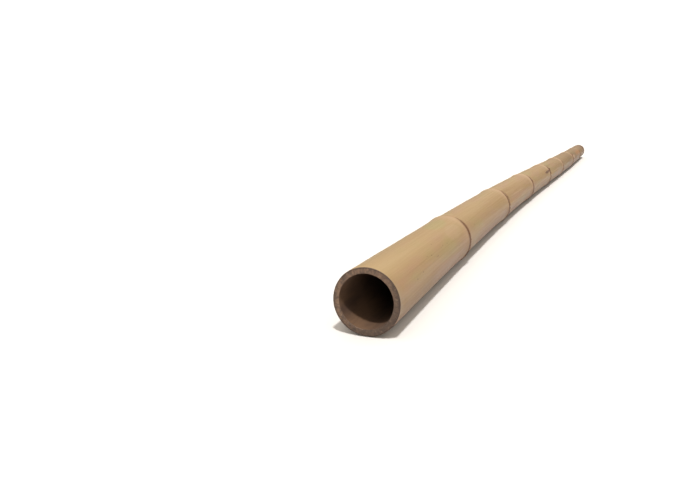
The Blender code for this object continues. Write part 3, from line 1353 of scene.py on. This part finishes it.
@dataclass
class FibreEnds:
    """The ends of the hard fibre bundles, which stand a hair out of the sawn faces."""

    culm: Culm
    spacing: float = 0.00085
    size: float = 0.00024
    stand: float = 0.00030
    sunk: float = 0.00022
    density: float = 1.6e6
    from_rim: float = 0.0008
    sides: int = 96
    seed: int = 5

    def faces(self) -> bpy.types.Mesh:
        """Makes the two flat rings that the fibre ends are scattered over.

        Returns:
            The rings' mesh.
        """
        form = self.culm.form
        points, faces = [], []
        for station in (0.0, form.length):
            at = np.array(station)
            outer = float(form.outer(at)) - self.from_rim
            inner = float(form.bore(at)) + self.from_rim
            first = len(points)
            for step in range(self.sides):
                side = 360.0 * step / self.sides
                points.append(self.culm.place(station, side, inner))
                points.append(self.culm.place(station, side, outer))
            for step in range(self.sides):
                here, there = first + 2 * step, first + 2 * ((step + 1) % self.sides)
                face = (here, here + 1, there + 1, there)
                faces.append(face if station > 0.0 else face[::-1])
        mesh = bpy.data.meshes.new("sawn_rings")
        mesh.from_pydata(points, [], faces)
        return mesh

    def build(self) -> bpy.types.Object:
        """Scatters low pegs over both faces, in one piece, and gives it.

        Returns:
            The fibre ends.
        """
        graph = Graph("fibre_ends")
        spacing = graph.size("Least spacing", self.spacing)
        size = graph.size("Bundle radius", self.size)
        stand = graph.size("Stand", self.stand)
        seed = graph.size("Seed", self.seed)
        inputs = {"Mesh": graph.geometry, "Distance Min": spacing, "Density Max": self.density, "Seed": seed}
        scatter = {"out": "Points", "distribute_method": "POISSON"}
        points = graph.node("GeometryNodeDistributePointsOnFaces", inputs, **scatter)
        peg = graph.peg(6, size * 0.6, size, stand)
        peg = graph.node("GeometryNodeTransform", {0: peg, "Translation": (0.0, 0.0, -self.sunk)})
        sizes = graph.drawn((0.5, 0.5, 0.6), (1.5, 1.5, 1.3), seed)
        pegs = graph.set_on(points, peg, points.beside("Rotation"), sizes)
        bundle = BarkFinish("bundle_ends", linear(62, 44, 34), linear(108, 84, 64)).material()
        return on_cane(graph.grow(graph.dressed(pegs, bundle), "fibre_ends", self.faces()))


@dataclass(frozen=True)
class View:
    """The photograph's camera, placed from the middle of the butt's rim."""

    back: float = 0.7105
    right: float = 0.2808
    above_floor: float = 0.2763
    yaw: float = 23.68
    pitch: float = 11.81
    lens: float = 35.0
    sensor: float = 36.0

    def place(self, butt: Vector) -> None:
        """Adds the camera and makes it the scene's own.

        Args:
            butt: The middle of the butt's sawn face.
        """
        camera = bpy.data.objects.new("photo_camera", bpy.data.cameras.new("photo_camera"))
        camera.data.lens = self.lens
        camera.data.sensor_width = self.sensor
        camera.data.sensor_fit = "HORIZONTAL"
        camera.data.clip_start = 0.01
        camera.location = (butt.x - self.back, butt.y - self.right, self.above_floor)
        yaw, pitch = math.radians(self.yaw), math.radians(self.pitch)
        ahead = Vector((math.cos(yaw) * math.cos(pitch), math.sin(yaw) * math.cos(pitch), -math.sin(pitch)))
        camera.rotation_euler = ahead.to_track_quat("-Z", "Y").to_euler()
        bpy.context.scene.collection.objects.link(camera)
        bpy.context.scene.camera = camera


@dataclass(frozen=True)
class Studio:
    """The pale floor and the soft light."""

    floor_size: float = 30.0
    floor_colour: Colour = (0.475, 0.46, 0.44)
    room_colour: Colour = (1.0, 0.945, 0.88)
    horizon: float = 0.24
    zenith: float = 1.52
    backdrop: float = 1.1
    key_from: Triple = (-0.43, -0.20, 1.0)
    key_softness: float = 4.5
    key_strength: float = 4.4
    fill_place: Triple = (-4.1, -1.7, 0.9)
    fill_aim: Triple = (-1.5, 0.0, 0.05)
    fill_size: float = 1.2
    fill_power: float = 26.0
    fill_colour: Colour = (1.0, 0.93, 0.85)

    def floor(self) -> None:
        """Adds the floor, just under what lies on it."""
        half = self.floor_size / 2.0
        mesh = bpy.data.meshes.new("floor")
        corners = [(-half, -half, 0.0), (half, -half, 0.0), (half, half, 0.0), (-half, half, 0.0)]
        mesh.from_pydata(corners, [], [(0, 1, 2, 3)])
        floor = bpy.data.objects.new("floor", mesh)
        material = bpy.data.materials.new("pale_floor")
        material.use_nodes = True
        shader = material.node_tree.nodes["Principled BSDF"]
        shader.inputs["Base Color"].default_value = (*self.floor_colour, 1.0)
        shader.inputs["Roughness"].default_value = 0.9
        mesh.materials.append(material)
        bpy.context.scene.collection.objects.link(floor)

    def lamp(self, name: str, kind: str, place: Triple, aim: Triple, **settings: float | str | tuple) -> None:
        """Adds a lamp.

        Args:
            name: Its name.
            kind: Blender's name for its kind.
            place: Where it stands.
            aim: What it shines at.
            **settings: Properties to set on its light.
        """
        light = bpy.data.lights.new(name, kind)
        for key, value in settings.items():
            setattr(light, key, value)
        lamp = bpy.data.objects.new(name, light)
        lamp.location = place
        lamp.rotation_euler = (Vector(place) - Vector(aim)).to_track_quat("Z", "Y").to_euler()
        bpy.context.scene.collection.objects.link(lamp)

    def room(self) -> None:
        """Sets the room's light: bright overhead, dim near the floor, behind a white backdrop."""
        world = bpy.data.worlds.new("room")
        world.use_nodes = True
        room = Nodes(world.node_tree)
        _, _, upward = room.split(room.node("ShaderNodeTexCoord", None, "Generated"))
        inputs = {"Value": upward, "From Max": 0.7, "To Min": self.horizon, "To Max": self.zenith}
        climb = room.node("ShaderNodeMapRange", inputs, interpolation_type="SMOOTHSTEP")
        lighting = room.node("ShaderNodeBackground", {"Color": (*self.room_colour, 1.0), "Strength": climb})
        backdrop = room.node("ShaderNodeBackground", {"Color": (1.0,) * 4, "Strength": self.backdrop})
        seen = room.node("ShaderNodeLightPath", None, "Is Camera Ray")
        mix = room.node("ShaderNodeMixShader", {0: seen, 1: lighting, 2: backdrop})
        room.feed(world.node_tree.nodes["World Output"].inputs["Surface"], mix)
        bpy.context.scene.world = world

    def build(self) -> None:
        """Adds the floor, the soft key light from above the near end, the weak soft box and the room."""
        self.floor()
        soft = math.radians(self.key_softness)
        self.lamp("key", "SUN", self.key_from, (0.0, 0.0, 0.0), energy=self.key_strength, angle=soft)
        box = {"size": self.fill_size, "energy": self.fill_power, "color": self.fill_colour}
        self.lamp("fill", "AREA", self.fill_place, self.fill_aim, shape="SQUARE", **box)
        self.room()
        bpy.context.scene.view_settings.view_transform = "Standard"


def main() -> None:
    """Builds every piece in order and reports each."""
    logging.basicConfig(level=logging.INFO, format="%(name)s: %(message)s")
    culm = Culm(CulmForm())
    piece = culm.build()
    details = (BranchStubs(culm), SheathStrip(culm), SheathFringe(culm), FibreEnds(culm))
    for made in (piece, *(detail.build() for detail in details)):
        LOG.info("%s: %d faces", made.name, len(made.data.polygons))
    View().place(culm.middle(0.0))
    Studio().build()


if __name__ == "__main__":
    main()
